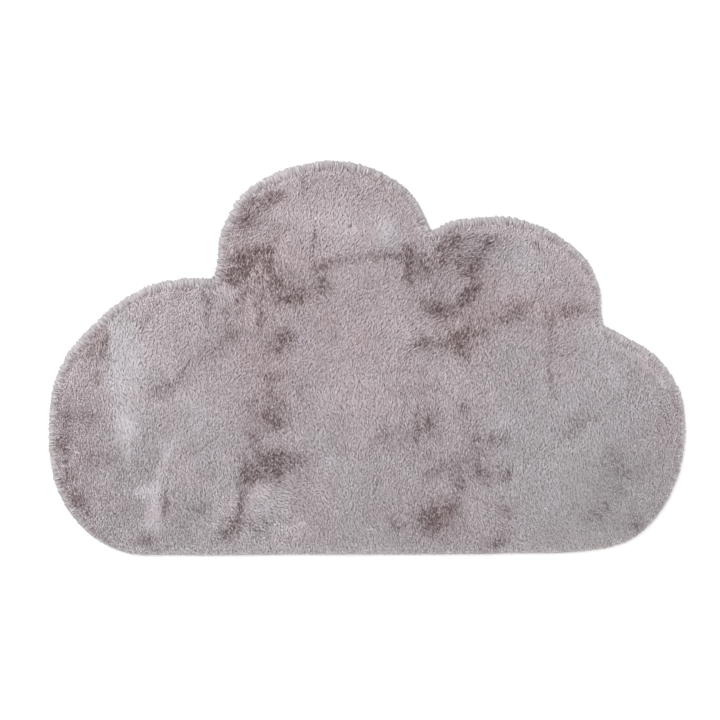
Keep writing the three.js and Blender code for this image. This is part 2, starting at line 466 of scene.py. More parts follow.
FOLD_SHADE_SPOTS = [
    # x, y, length, width, turn, strength
    # The fold between the left lobe and the top lobe
    (-271, 160, 42, 30, 0, 0.95),
    (-275, 158, 30, 22, 0, 0.6),
    (-250, 182, 60, 28, 85, 0.9),
    (-268, 197, 50, 14, 0, 0.5),
    (-224, 212, 46, 22, 20, 0.85),
    (-198, 186, 44, 20, 90, 0.75),
    (-216, 193, 46, 34, 0, 0.6),
    (-190, 224, 30, 18, 90, 0.35),
    (-244, 283, 50, 20, 88, 0.7),
    (-222, 280, 40, 24, 90, 0.3),
    (-232, 312, 16, 12, 0, 0.5),
    (-195, 320, 52, 28, 28, 0.6),
    (-262, 250, 90, 36, 78, 0.25),
    (-183, 151, 30, 24, 0, 0.6),
    (-165, 114, 44, 16, 10, 0.6),
    (-137, 126, 28, 26, 0, 0.7),
    (-162, 135, 90, 66, 0, 0.3),
    (-210, 165, 90, 60, 0, 0.25),
    (-217, 86, 60, 20, 90, 0.6),
    (-256, 108, 40, 26, 90, 0.4),
    (-238, 130, 40, 30, 0, 0.3),
    (-305, 168, 60, 30, 15, 0.18),
    (-286, 85, 70, 18, 90, 0.25),
    (-325, 128, 38, 28, 90, 0.5),
    (-321, 88, 60, 14, 90, 0.25),
    (-377, 132, 28, 20, 0, 0.35),
    (-165, 42, 34, 32, 70, 0.85),
    (-176, 18, 40, 20, 60, 0.4),
    (-147, 45, 24, 20, 0, 0.35),
    (-195, 20, 70, 44, 90, 0.12),
    (-190, -38, 60, 16, 0, 0.3),
    (-190, -62, 44, 28, 90, 0.2),
    (-172, -92, 50, 36, 90, 0.2),
    (-230, -85, 70, 36, 70, 0.1),
    (-201, -119, 30, 24, 0, 0.65),
    (-174, -135, 34, 24, 0, 0.6),
    (-190, -125, 76, 60, 0, 0.25),
    (-125, -78, 56, 24, 110, 0.2),
    (-230, -166, 34, 26, 120, 0.45),
    (-180, -203, 56, 22, 0, 0.75),
    (-181, -232, 46, 28, 90, 0.85),
    (-217, -235, 36, 28, 20, 0.85),
    (-205, -212, 90, 50, 0, 0.35),
    (-145, -214, 60, 44, 0, 0.25),
    (-239, -247, 44, 26, 70, 0.7),
    (-251, -296, 70, 20, 80, 0.45),
    (-265, -336, 36, 30, 0, 0.75),
    (-282, -357, 28, 24, 60, 0.7),
    (-232, -341, 38, 14, 115, 0.45),
    (-200, -340, 60, 50, 0, 0.16),
    # The left lobe
    (-535, 28, 60, 26, 100, 0.4),
    (-562, 5, 50, 34, 0, 0.25),
    (-600, -45, 50, 30, 80, 0.15),
    (-543, -40, 40, 12, 90, 0.3),
    (-570, -120, 90, 30, 0, 0.15),
    (-612, -125, 80, 24, 85, 0.22),
    (-617, -175, 30, 24, 90, 0.75),
    (-611, -205, 50, 20, 95, 0.35),
    (-601, -245, 40, 24, 100, 0.35),
    (-589, -286, 44, 24, 130, 0.55),
    (-572, -310, 50, 20, 130, 0.3),
    (-530, -207, 80, 40, 0, 0.18),
    (-448, -220, 90, 24, 90, 0.15),
    (-408, -296, 54, 16, 85, 0.35),
    (-440, -365, 34, 30, 0, 0.45),
    (-468, -373, 30, 20, 0, 0.15),
    (-340, -310, 50, 36, 0, 0.2),
    (-490, -315, 50, 44, 0, 0.15),
    (-402, -60, 60, 26, 28, 0.3),
    (-375, -42, 30, 24, 30, 0.25),
    (-430, -72, 40, 24, 20, 0.2),
    (-308, 18, 80, 40, 35, 0.15),
    (-275, 45, 40, 26, 30, 0.25),
    (-442, 88, 66, 14, 65, 0.25),
    (-500, 90, 90, 60, 0, 0.12),
    # The top lobe
    (-111, 235, 66, 14, 85, 0.3),
    (-95, 178, 44, 30, 0, 0.55),
    (-90, 145, 46, 30, 100, 0.45),
    (-55, 194, 90, 26, 5, 0.26),
    (5, 206, 60, 22, 5, 0.2),
    (38, 202, 36, 20, 20, 0.34),
    (66, 207, 40, 16, 10, 0.3),
    (-128, 355, 50, 30, 90, 0.2),
    (35, 340, 110, 34, -20, 0.15),
    (-175, 258, 60, 30, 0, 0.15),
    # The fold between the top lobe and the right shoulder
    (86, 210, 36, 22, 20, 0.6),
    (85, 178, 62, 26, 90, 0.85),
    (115, 178, 60, 34, 90, 0.35),
    (150, 208, 50, 16, 88, 0.65),
    (178, 237, 44, 26, 35, 0.6),
    (158, 225, 30, 20, 60, 0.25),
    (230, 242, 40, 18, 0, 0.32),
    (236, 226, 36, 24, 80, 0.4),
    (255, 222, 50, 20, 80, 0.08),
    (180, 184, 40, 14, 90, 0.5),
    (212, 188, 42, 34, 60, 0.95),
    (205, 168, 26, 18, 0, 0.5),
    (180, 200, 140, 90, 0, 0.2),
    (193, 115, 48, 22, 68, 0.95),
    (203, 134, 30, 22, 60, 0.7),
    (222, 142, 36, 28, 40, 0.5),
    (214, 122, 40, 30, 60, 0.3),
    (150, 98, 38, 38, 0, 0.7),
    (128, 104, 36, 40, 0, 0.3),
    (187, 34, 40, 32, 30, 1.0),
    (182, 30, 30, 20, 0, 0.6),
    (163, 27, 30, 22, 0, 0.5),
    (203, 56, 34, 18, 60, 0.6),
    (194, 6, 34, 26, 90, 0.4),
    (222, 51, 50, 14, 0, 0.4),
    (115, 26, 50, 34, 0, 0.45),
    (80, 8, 40, 14, 100, 0.3),
    (295, 90, 60, 46, 30, 0.35),
    (200, 60, 160, 140, 0, 0.12),
    (270, 78, 60, 20, 0, 0.12),
    (364, 75, 80, 22, 95, 0.2),
    (405, 92, 40, 38, 0, 0.28),
    (436, 92, 60, 34, 0, 0.2),
    (340, 227, 18, 16, 60, 0.3),
    # The lower middle
    (88, -30, 120, 12, 0, 0.15),
    (90, -66, 90, 20, 0, 0.2),
    (100, -125, 60, 10, 88, 0.3),
    (102, -158, 24, 10, 90, 0.3),
    (125, -130, 50, 38, 90, 0.4),
    (105, -155, 150, 110, 0, 0.12),
    (10, -175, 36, 14, 90, 0.25),
    (36, -165, 40, 26, 90, 0.2),
    (200, -105, 34, 26, 80, 0.3),
    (221, -182, 44, 26, 110, 0.3),
    (241, -168, 40, 24, 0, 0.2),
    (272, -170, 40, 30, 0, 0.2),
    (208, -204, 70, 20, 0, 0.2),
    (179, -226, 60, 26, 85, 0.3),
    (185, -260, 36, 50, 0, 0.3),
    (226, -236, 38, 34, 0, 0.45),
    (252, -230, 60, 28, 0, 0.25),
    (285, -237, 30, 20, 0, 0.25),
    (140, -232, 70, 24, 20, 0.2),
    (210, -230, 160, 110, 0, 0.05),
    (135, -328, 48, 44, 100, 0.95),
    (140, -335, 100, 84, 0, 0.15),
    (171, -310, 44, 34, 60, 0.5),
    (95, -328, 50, 40, 0, 0.15),
    (61, -335, 34, 26, 120, 0.3),
    (264, -378, 48, 26, 45, 0.55),
    (285, -312, 44, 30, 90, 0.15),
    # The right lobe
    (440, -125, 60, 44, 0, 0.25),
    (410, -152, 50, 30, 0, 0.2),
    (500, -212, 60, 44, 60, 0.2),
    (520, -240, 44, 34, 0, 0.2),
    (515, -272, 40, 30, 0, 0.2),
    (475, -262, 40, 30, 60, 0.15),
    (472, -318, 44, 36, 0, 0.35),
    (549, -342, 50, 26, -60, 0.3),
    (372, -52, 44, 14, 100, 0.25),
    (235, -30, 60, 30, 0, 0.15),
    (400, 10, 120, 80, 0, 0.08),
]

# Painted sheen of patches where the pile is pressed flat and catches the light, with more of its pale tips
# showing: these spots lighten its tone and flatten its locks
SHEEN_SPOTS = [
    # x, y, length, width, turn, strength
    # The left lobe
    (-498, -10, 180, 66, 88, 0.36),
    (-490, -135, 64, 44, 90, 0.45),
    (-480, -205, 110, 36, 92, 0.4),
    (-455, -275, 54, 30, 0, 0.4),
    (-425, -262, 60, 32, 85, 0.4),
    (-430, -322, 72, 46, 80, 0.55),
    (-400, -180, 56, 38, 20, 0.3),
    (-413, -215, 70, 24, 70, 0.4),
    (-450, 0, 260, 220, 90, 0.4),
    (-320, -90, 140, 120, 0, 0.3),
    (-606, -65, 110, 44, 85, 0.35),
    (-400, 90, 120, 90, 0, 0.2),
    (-265, -10, 80, 50, 60, 0.25),
    (-470, -320, 140, 110, 0, 0.15),
    (-350, -200, 140, 140, 0, 0.2),
    (-400, -100, 140, 80, 0, 0.12),
    (-500, -175, 80, 60, 0, 0.2),
    # The top lobe and the middle
    (-40, 265, 260, 130, 0, 0.4),
    (38, 258, 84, 46, 70, 0.3),
    (72, 50, 70, 24, 90, 0.35),
    (0, -90, 480, 170, 90, 0.25),
    (0, -175, 90, 70, 0, 0.15),
    (-133, -150, 110, 26, 90, 0.3),
    (-215, -268, 60, 56, 0, 0.35),
    (-135, -335, 34, 32, 0, 0.45),
    (-170, -347, 70, 34, 0, 0.4),
    (60, -330, 300, 100, 0, 0.2),
    (60, 90, 160, 60, 0, 0.15),
    (290, -200, 120, 120, 0, 0.15),
    # The right
    (275, -125, 60, 50, 90, 0.4),
    (320, 190, 80, 70, 90, 0.35),
    (300, 0, 130, 120, 0, 0.2),
    (400, -290, 220, 170, 0, 0.15),
    (540, -110, 260, 220, 0, 0.1),
    (-598, -255, 80, 40, 100, 0.2),
    (572, 5, 190, 34, -38, 0.45),
]

WARM_SPOTS = [
    # x, y, length, width, turn, strength
    (-230, 190, 220, 220, 0, 0.5),
    (-210, -10, 120, 300, 0, 0.4),
    (190, 150, 220, 220, 0, 0.35),
    (190, 50, 200, 110, 0, 0.5),
    (400, 95, 200, 60, 0, 0.25),
    (-605, -160, 320, 60, 85, 0.35),
    (-540, 30, 130, 60, 100, 0.4),
    (140, -325, 110, 100, 0, 0.3),
    (0, 364, 320, 220, 0, 0.25),
    (-30, 130, 220, 170, 0, 0.3),
    (-40, -320, 220, 120, 0, 0.1),
    (560, -340, 90, 60, -30, 0.3),
    (640, -60, 200, 40, 80, 0.4),
]

COOL_SPOTS = [
    # x, y, length, width, turn, strength
    (540, -150, 340, 300, 90, 0.3),
    (-498, 17, 180, 60, 88, 0.8),
    (-470, -200, 240, 90, 90, 0.4),
    (313, 190, 80, 80, 0, 0.4),
    (240, 240, 160, 80, 0, 0.25),
    (45, 240, 70, 50, 75, 0.4),
    (333, -220, 280, 140, 90, 0.3),
    (-190, -300, 160, 120, 0, 0.3),
    (480, -290, 140, 130, 0, 0.3),
    (300, 0, 130, 130, 0, 0.4),
    (-300, -350, 500, 90, 0, 0.3),
]

# Places where the pile lies another way than the nap around them
TURNED_SPOTS = [
    # x, y, length, width, turn, how far the nap turns in degrees
    (-170, -285, 150, 130, 0, 50),
    (-300, -330, 160, 110, 0, 25),
    (330, -330, 200, 120, 0, 15),
    (120, 60, 160, 120, 0, -30),
    (-230, 170, 160, 130, 0, 35),
    (210, 190, 140, 140, 0, -35),
    (60, -100, 200, 160, 0, 10),
]

# Lines where the pile has parted down to its roots
PARTINGS = [
    # x, y, length, turn, depth
    (-365, -20, 26, 62, 0.8),
    (-325, -178, 60, 35, 0.4),
    (20, -260, 36, 62, 0.5),
    (235, -144, 14, 120, 0.4),
    (288, -235, 16, 130, 0.5),
    (251, -304, 44, 57, 0.3),
    (368, 20, 150, 93, 0.12),
    (380, -70, 60, 110, 0.25),
    (318, -195, 95, 90, 0.25),
    (487, -300, 12, 135, 1.0),
    (-36, 264, 8, 20, 1.0),
    (-108, 250, 30, 75, 0.6),
    (-67, -388, 14, 75, 0.5),
    (489, -383, 10, 20, 0.8),
    (-426, -391, 8, 0, 0.6),
    (58, 74, 460, 0, 0.1),
]


def seen_from(x, y, spot_x, spot_y, turn):
    """The points as they lie from a spot, along its length and across it."""
    cos, sin = math.cos(math.radians(turn)), math.sin(math.radians(turn))
    dx, dy = x - spot_x * MM, y - spot_y * MM
    return dx * cos + dy * sin, dy * cos - dx * sin


def spot_fade(x, y, spot):
    """1 in the middle of a spot, falling softly to nothing past its edge."""
    along, across = seen_from(x, y, spot[0], spot[1], spot[4])
    far = 2 * np.hypot(along / (spot[2] * MM), across / (spot[3] * MM))
    return np.exp(-(far**2))


def shown(spots, x, y):
    """How strongly any of the spots shows at these points, from 0 to 1."""
    missed = np.ones_like(x)
    for spot in spots:
        missed *= 1 - spot[5] * spot_fade(x, y, spot)
    return 1 - missed


def parted(x, y):
    """How deeply the pile is parted at these points, and the way that it is pushed aside there."""
    x, y = wander(x, y, PARTING_BENDS)
    depth, push_x, push_y = (np.zeros_like(x) for _ in range(3))
    for line_x, line_y, length, turn, strength in PARTINGS:
        along, across = seen_from(x, y, line_x, line_y, turn)
        past = np.maximum(np.abs(along) - length * MM / 2, 0)
        near = strength * np.exp(-((np.hypot(past, across) / PARTING_WIDTH) ** 2))
        depth = np.maximum(depth, near)
        push_x -= math.sin(math.radians(turn)) * np.sign(across) * near
        push_y += math.cos(math.radians(turn)) * np.sign(across) * near
    return depth, push_x, push_y


def shading(x, y):
    """How deep in a fold and how pressed flat the pile lies at these points, each from 0 to 1; the first is
    painted into its tone as shade and the second as sheen.
    """
    uneven = wander(x, y, SHADE_BENDS)
    broken = mottled(1, x, y, FOLD_SHADE_CLOUDS)
    return np.clip(shown(FOLD_SHADE_SPOTS, *uneven) * broken, 0, 1), shown(SHEEN_SPOTS, *uneven)


def pressed(light):
    """How flat the pile lies where it is this light, from 0 to 1."""
    return smooth((light - PRESSED_FROM) / PRESSED_OVER)


def changed(what, plain, dark, flat):
    """plain with what folds and pressed patches add to it."""
    return plain + PRESSED[what] * flat + FOLDED[what] * dark


def nap_over_edge(x, y):
    """How much the nap points outwards over the nearest cut edge, from 0 to 1."""
    out_x, out_y = rug_form().outward(x, y)
    return smooth((out_x * NAP[0] + out_y * NAP[1] + NAP_AWAY) / NAP_AWAY)


def rim_share(inset, width):
    """1 at the cut edge, falling softly to nothing at this width inside it."""
    return smooth(1 - inset / width)


def pile_look(x, y):
    """The tone of the pile at these points, from dark to pale, and its warmth, both from 0 to 1."""
    dark, light = shading(x, y)
    inset = rug_form().at(rug_form().inset, x, y)
    tone = mottled(PLAIN_TONE, x, y, TONE_CLOUDS)
    tone += STREAK_TONE * clouds(x, y / STREAK_LENGTH, STREAK_WIDTH, 6)
    # Painted sheen where the pile is pressed flat, less of it where the flat locks catch real light, and
    # painted shade in the folds
    tone += PRESSED_SHEEN_TONE * light + PRESSED_TONE * pressed(light) + FOLD_SHADE_TONE * dark
    # Painted light along the rim, where the locks turn over the edge: it is paler where the nap points over
    # it, and no darker than the rest where it points away
    over = nap_over_edge(x, y)
    rim = RIM_LIGHT_TONE * over * rim_share(inset, RIM_WIDTH)
    tone += rim + (EDGE_LIGHT_TONE[0] + EDGE_LIGHT_TONE[1] * over) * rim_share(inset, EDGE_WIDTH)
    uneven = wander(x, y, WARMTH_BENDS)
    warmth = mottled(PLAIN_WARMTH, x, y, WARMTH_CLOUDS)
    spots = WARM_SPOT_WARMTH * shown(WARM_SPOTS, *uneven) + COOL_SPOT_WARMTH * shown(COOL_SPOTS, *uneven)
    # The folds' painted shade is browner too
    warmth += spots + FOLD_SHADE_WARMTH * dark
    warmth += EDGE_WARMTH * rim_share(inset, 14 * MM)
    warmth += BASE_WARMTH * smooth((-y - 100 * MM) / (150 * MM))
    return tone, warmth


def looseness(x, dark, flat):
    """How unevenly the locks lie here: more so in folds, less where the pile is pressed and on the right."""
    return changed("loose", 1.15, dark, flat) - 0.1 * smooth((x - 150 * MM) / (250 * MM))


# Making pieces


def new_piece(name, mesh, material):
    """Adds a piece at the origin that stands for the solid, rides with it and takes the given material."""
    piece = bpy.data.objects.new(name, mesh)
    bpy.context.scene.collection.objects.link(piece)
    mesh.materials.append(material)
    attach(piece, "root")
    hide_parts("fur_rug")


def mesh_of(name, shape, soft=False):
    """The finished mesh of a bmesh, which is freed."""
    bmesh.ops.recalc_face_normals(shape, faces=shape.faces)
    mesh = bpy.data.meshes.new(name)
    shape.to_mesh(mesh)
    shape.free()
    mesh.polygons.foreach_set("use_smooth", np.full(len(mesh.polygons), soft))
    return mesh


def raise_copy(shape):
    """Closes a sheet with a copy of itself, and gives the copy's points, which still lie on it."""
    raised = bmesh.ops.extrude_face_region(shape, geom=shape.faces[:], use_keep_orig=True)["geom"]
    return [part for part in raised if isinstance(part, bmesh.types.BMVert)]


def add_node(tree, kind, inputs=None, **settings):
    """Adds a shader node. An input's value is a number or colour, or the socket that feeds it."""
    node = tree.nodes.new(kind)
    for name, value in settings.items():
        setattr(node, name, value)
    for name, value in (inputs or {}).items():
        if isinstance(value, bpy.types.NodeSocket):
            tree.links.new(value, node.inputs[name])
        else:
            node.inputs[name].default_value = value
    return node


def new_material(name):
    material = bpy.data.materials.new(name)
    material.use_nodes = True
    material.node_tree.nodes.clear()
    return material, material.node_tree


def finish_material(tree, shader):
    add_node(tree, "ShaderNodeOutputMaterial", {"Surface": shader.outputs["BSDF"]})


def with_alpha(rgb):
    return (*rgb, 1.0)


def set_ramp(node, stops):
    """Gives a colour ramp its stops, as (place, colour)."""
    ramp = node.color_ramp
    while len(ramp.elements) < len(stops):
        ramp.elements.new(0.5)
    for element, (place, rgb) in zip(ramp.elements, stops):
        element.position = place
        element.color = with_alpha(rgb)


# Materials


def fur_material():
    """Polyester plush fur, cut and brushed: matt and soft, with pale tips over browner roots."""
    settings = bpy.context.scene.rug_pile
    material, tree = new_material("polyester plush fur")
    look = add_node(tree, "ShaderNodeAttribute", attribute_name="lock_look")
    parts = add_node(tree, "ShaderNodeSeparateColor", {"Color": look.outputs["Color"]})
    # The tone carries the painted shade of the folds and partings and the painted light of the pressed
    # patches and the rim
    tone = add_node(tree, "ShaderNodeValToRGB", {"Fac": parts.outputs["Red"]})
    set_ramp(tone, [(0, settings.dark), (0.5, settings.middle), (1, settings.pale)])
    # The fur's tint goes from a greenish and a bluish grey to lilac and then a warm brown
    tint = add_node(tree, "ShaderNodeValToRGB", {"Fac": parts.outputs["Green"]})
    tints = [(0, "FFFCFE"), (0.33, "FFF9FE"), (0.66, "FFF1F6"), (1, "FFE7E8")]
    set_ramp(tint, [(place, colour(code)) for place, code in tints])
    depth = add_node(tree, "ShaderNodeValToRGB", {"Fac": parts.outputs["Blue"]})
    set_ramp(depth, [(0, settings.root), (0.5, colour("FFFFFF"))])
    fur = tone.outputs["Color"]
    for layer in (tint, depth):
        mixed = add_node(
            tree,
            "ShaderNodeMix",
            {0: 1.0, 6: fur, 7: layer.outputs["Color"]},
            data_type="RGBA",
            blend_type="MULTIPLY",
        )
        fur = mixed.outputs[2]
    # The bundles of fibres run along each lock, which is one column of its map wide
    place = add_node(tree, "ShaderNodeUVMap", uv_map="OFBake")
    fibres = add_node(
        tree,
        "ShaderNodeTexWave",
        {
            "Vector": place.outputs["UV"],
            "Scale": FIBRES * CHART[0] * WAVE_LENGTH,
            "Distortion": 0.5,
            "Detail": 1,
        },
    )
    rough = add_node(
        tree, "ShaderNodeMapRange", {"Value": fibres.outputs["Fac"], "To Min": 0.68, "To Max": 0.82}
    )
    bump = add_node(
        tree, "ShaderNodeBump", {"Height": fibres.outputs["Fac"], "Strength": 0.25, "Distance": 0.1 * MM}
    )
    shader = add_node(
        tree,
        "ShaderNodeBsdfPrincipled",
        {
            "Base Color": fur,
            "Roughness": rough.outputs["Result"],
            "Normal": bump.outputs["Normal"],
            "Specular IOR Level": 0.25,
            "Sheen Weight": 0.2,
            "Sheen Roughness": 0.5,
        },
    )
    finish_material(tree, shader)
    return material


def underfur_material():
    """Short dense polyester fibres under the pile: duller and browner than the tips."""
    material, tree = new_material("polyester underfur")
    place = add_node(tree, "ShaderNodeTexCoord")
    specks = add_node(
        tree, "ShaderNodeTexNoise", {"Vector": place.outputs["Object"], "Scale": 1 / (2 * MM), "Detail": 3}
    )
    tint = add_node(tree, "ShaderNodeValToRGB", {"Fac": specks.outputs["Fac"]})
    set_ramp(tint, [(0.3, colour("7E706E")), (0.7, colour("A39594"))])
    bump = add_node(
        tree, "ShaderNodeBump", {"Height": specks.outputs["Fac"], "Strength": 0.6, "Distance": 1 * MM}
    )
    shader = add_node(
        tree,
        "ShaderNodeBsdfPrincipled",
        {
            "Base Color": tint.outputs["Color"],
            "Roughness": 0.9,
            "Specular IOR Level": 0.2,
            "Normal": bump.outputs["Normal"],
        },
    )
    finish_material(tree, shader)
    return material


def ground_material():
    """Warp knitted polyester with a thin backing coat: columns of small slanting stitches, matt.

    A real stitch is about 1.5 mm wide. It is drawn wider, so that it shows from a step away."""
    settings = bpy.context.scene.rug_ground
    material, tree = new_material("warp knitted polyester ground")
    place = add_node(tree, "ShaderNodeTexCoord")
    axes = add_node(tree, "ShaderNodeSeparateXYZ", {"Vector": place.outputs["Object"]})
    made = {"x": axes.outputs["X"], "y": axes.outputs["Y"]}
    # Each column's stitches slant up to its middle from both sides
    for name, operation, *values in [
        ("across", "PINGPONG", "x", settings.stitch / 2),
        ("slant", "MULTIPLY_ADD", "across", 1.1, "y"),
        ("turn", "MULTIPLY", "slant", 2 * math.pi / (0.7 * settings.stitch)),
        ("ridge", "SINE", "turn"),
        ("rise", "MULTIPLY", "across", 4 / settings.stitch),
        ("column", "SMOOTH_MIN", "rise", 1.0, 0.3),
        ("stitch", "MULTIPLY_ADD", "ridge", 0.35, 0.65),
        ("height", "MULTIPLY", "stitch", "column"),
    ]:
        inputs = {i: made.get(value, value) for i, value in enumerate(values)}
        made[name] = add_node(tree, "ShaderNodeMath", inputs, operation=operation).outputs["Value"]
    height = made["height"]
    # Where the knit lies low the yarn darkens to the hollow colour, a painted shade between the stitches
    yarn = add_node(
        tree,
        "ShaderNodeMix",
        {0: height, 6: with_alpha(settings.hollow_shade), 7: with_alpha(settings.yarn)},
        data_type="RGBA",
    )
    rough = add_node(tree, "ShaderNodeMapRange", {"Value": height, "To Min": 0.95, "To Max": 0.8})
    bump = add_node(tree, "ShaderNodeBump", {"Height": height, "Strength": 0.7, "Distance": 0.5 * MM})
    shader = add_node(
        tree,
        "ShaderNodeBsdfPrincipled",
        {
            "Base Color": yarn.outputs[2],
            "Roughness": rough.outputs["Result"],
            "Normal": bump.outputs["Normal"],
            "Specular IOR Level": 0.2,
        },
    )
    finish_material(tree, shader)
    return material


# Locks


def lock_arrays(root, tip, width, ridge, twist, bend):
    """Points, faces and the place along each point, for locks with three sides that end in a point.

    ridge is how high a lock's ridge stands at its root. bend is how high a lock's middle stands above the
    straight way from root to tip, as a share of its length. Without it a lock is straight and has four
    faces."""
    way = tip - root
    length = np.linalg.norm(way, axis=1, keepdims=True)
    ahead = way / length
    across = np.stack([-ahead[:, 1], ahead[:, 0], np.zeros(len(ahead))], 1)
    across /= np.linalg.norm(across, axis=1, keepdims=True) + 1e-9
    upward = np.cross(ahead, across)
    cos, sin = np.cos(twist)[:, None], np.sin(twist)[:, None]
    across, upward = across * cos + upward * sin, upward * cos - across * sin
    half, rise = across * width[:, None] / 2, upward * ridge[:, None]

    def ring(centre, share):
        return [centre + half * share, centre - half * share, centre + rise * share]

    if bend is None:
        points = [*ring(root, 1), tip]
        along = [0, 0, 0, 1]
        faces = [[0, 1, 2], [1, 0, 3], [2, 1, 3], [0, 2, 3]]
    else:
        bent_at = 0.65
        middle = root + way * bent_at
        middle[:, 2] += bend * length[:, 0]
        points = [*ring(root, 1), *ring(middle, 0.9), tip]
        along = [0, 0, 0, bent_at, bent_at, bent_at, 1]
        faces = [
            [0, 1, 2],
            [1, 0, 3], [1, 3, 4],
            [2, 1, 4], [2, 4, 5],
            [0, 2, 5], [0, 5, 3],
            [4, 3, 6], [5, 4, 6], [3, 5, 6],
        ]
    return np.stack(points, 1), np.array(faces), np.array(along, float)


def joined_locks(name, locks, look, bend=None):
    """One mesh of many locks. look holds each lock's tone and warmth."""
    points, faces, along = lock_arrays(*locks, bend)
    count, each = points.shape[:2]
    mesh = bpy.data.meshes.new(name)
    mesh.vertices.add(count * each)
    mesh.vertices.foreach_set("co", points.reshape(-1))
    corners = (faces.reshape(1, -1) + each * np.arange(count)[:, None]).astype(np.int32)
    mesh.loops.add(corners.size)
    mesh.loops.foreach_set("vertex_index", corners.reshape(-1))
    mesh.polygons.add(corners.size // 3)
    mesh.polygons.foreach_set("loop_start", np.arange(0, corners.size, 3, dtype=np.int32))
    mesh.polygons.foreach_set("use_smooth", np.ones(corners.size // 3, bool))
    looks = np.ones((count, each, 4), np.float32)
    looks[:, :, :2] = look[:, None, :]
    looks[:, :, 2] = along
    mesh.attributes.new("lock_look", "FLOAT_COLOR", "POINT")
    mesh.attributes["lock_look"].data.foreach_set("color", looks.reshape(-1))
    # Each lock is laid in the chart's cell for its look, so that like locks share it
    cell = np.floor(np.clip(look, 0, 0.999) * CHART)
    side = np.array([0.15, 0.85, 0.5] * (each // 3) + [0.5])
    place = np.stack([cell[:, :1] + side, cell[:, 1:] + 0.05 + 0.9 * along], 2) / CHART
    chart = mesh.uv_layers.new(name="OFBake")
    chart.data.foreach_set("uv", place.reshape(-1, 2)[corners.reshape(-1)].astype(np.float32).reshape(-1))
    mesh.update(calc_edges=True)
    mesh.validate()
    return mesh


def lattice_places(spacing, rng):
    """Points all over the rug's grid on an uneven triangular lattice."""
    form = rug_form()
    low, high = form.low, form.low + form.cell * form.size
    row = spacing * math.sqrt(0.75)
    x, y = np.meshgrid(np.arange(low[0], high[0], spacing), np.arange(low[1], high[1], row))
    x = x + spacing / 2 * (np.arange(x.shape[0])[:, None] % 2)
    x, y = x.ravel(), y.ravel()
    stray_x = rng.uniform(-PLACE_STRAY, PLACE_STRAY, x.size) * spacing
    stray_y = rng.uniform(-PLACE_STRAY, PLACE_STRAY, y.size) * spacing
    return x + stray_x, y + stray_y


def nearest_wisp(x, y, wisp_x, wisp_y):
    """The number of the wisp that each point belongs to."""
    tree = KDTree(len(wisp_x))
    for i, place in enumerate(zip(wisp_x, wisp_y)):
        tree.insert((*place, 0), i)
    tree.balance()
    return np.array([tree.find((px, py, 0))[1] for px, py in zip(x, y)])


def nap_at(x, y, stray):
    """The way that the pile lies here, 1 long, and less where it stands up to turn over the edge."""
    settings = bpy.context.scene.rug_pile
    form = rug_form()
    turn = settings.nap + settings.fan_across * x + settings.fan_along * y + stray
    turn = mottled(turn, x, y, NAP_CLOUDS)
    for spot in TURNED_SPOTS:
        turn = turn + math.radians(spot[5]) * spot_fade(x, y, spot)
    nap_x, nap_y = np.cos(turn), np.sin(turn)
    out_x, out_y = form.outward(x, y)
    flare = TURNED * nap_over_edge(x, y) * rim_share(form.at(form.inset, x, y), TURN_OVER)
    nap_x = nap_x * (1 - flare) + OUTWARD * out_x * flare
    nap_y = nap_y * (1 - flare) + OUTWARD * out_y * flare
    size = np.maximum(np.hypot(nap_x, nap_y), 1)
    return nap_x / size, nap_y / size


def lean_over(x, y, reach, nap, rng):
    """Where the tips of locks with these roots come to rest."""
    form = rug_form()
    tip_x, tip_y = x + nap[0] * reach, y + nap[1] * reach
    inset = form.at(form.inset, tip_x, tip_y)
    out_x, out_y = form.outward(tip_x, tip_y)
    overhang = rng.uniform(*PILE_OVERHANG, x.size) * form.overhang(tip_x, tip_y)
    over = np.maximum(-inset - overhang, 0)
    tip_x, tip_y = tip_x - out_x * over, tip_y - out_y * over
    inset = form.at(form.inset, tip_x, tip_y)
    out = np.clip((SHOULDER_INSET - inset) / (SHOULDER_INSET + overhang), 0, 1)
    inner = np.maximum(2 * SHOULDER_INSET - inset, 0)
    top = form.at(form.tops, tip_x - out_x * inner, tip_y - out_y * inner)
    return np.stack([tip_x, tip_y, top * (1 - out) + PILE_DROOP * out], 1)


class RUG_OT_ground(bpy.types.Operator):
    """Makes the knitted ground, a thin sheet with the solid's cut edge"""

    bl_idname = "rug.ground"
    bl_label = "Ground"

    def execute(self, context):
        sheet = underside()
        bmesh.ops.translate(sheet, verts=raise_copy(sheet), vec=(0, 0, context.scene.rug_ground.thickness))
        new_piece("ground_cloth", mesh_of("ground_cloth", sheet), ground_material())
        return {"FINISHED"}


class RUG_OT_underfur(bpy.types.Operator):
    """Makes the dense underfur, a low copy of the solid's lumpy top"""

    bl_idname = "rug.underfur"
    bl_label = "Underfur"

    def execute(self, context):
        bed = merged_copy()
        low = [v for v in bed.verts if v.co.z < BED_FROM]
        bmesh.ops.delete(bed, geom=low, context="VERTS")
        for vert in bed.verts:
            vert.co.z = GROUND_TOP + UNDERFUR_SHARE * (vert.co.z - GROUND_TOP)
        for vert in raise_copy(bed):
            vert.co.z = GROUND_TOP - UNDERFUR_SUNK
        new_piece("underfur", mesh_of("underfur", bed, soft=True), underfur_material())
        return {"FINISHED"}


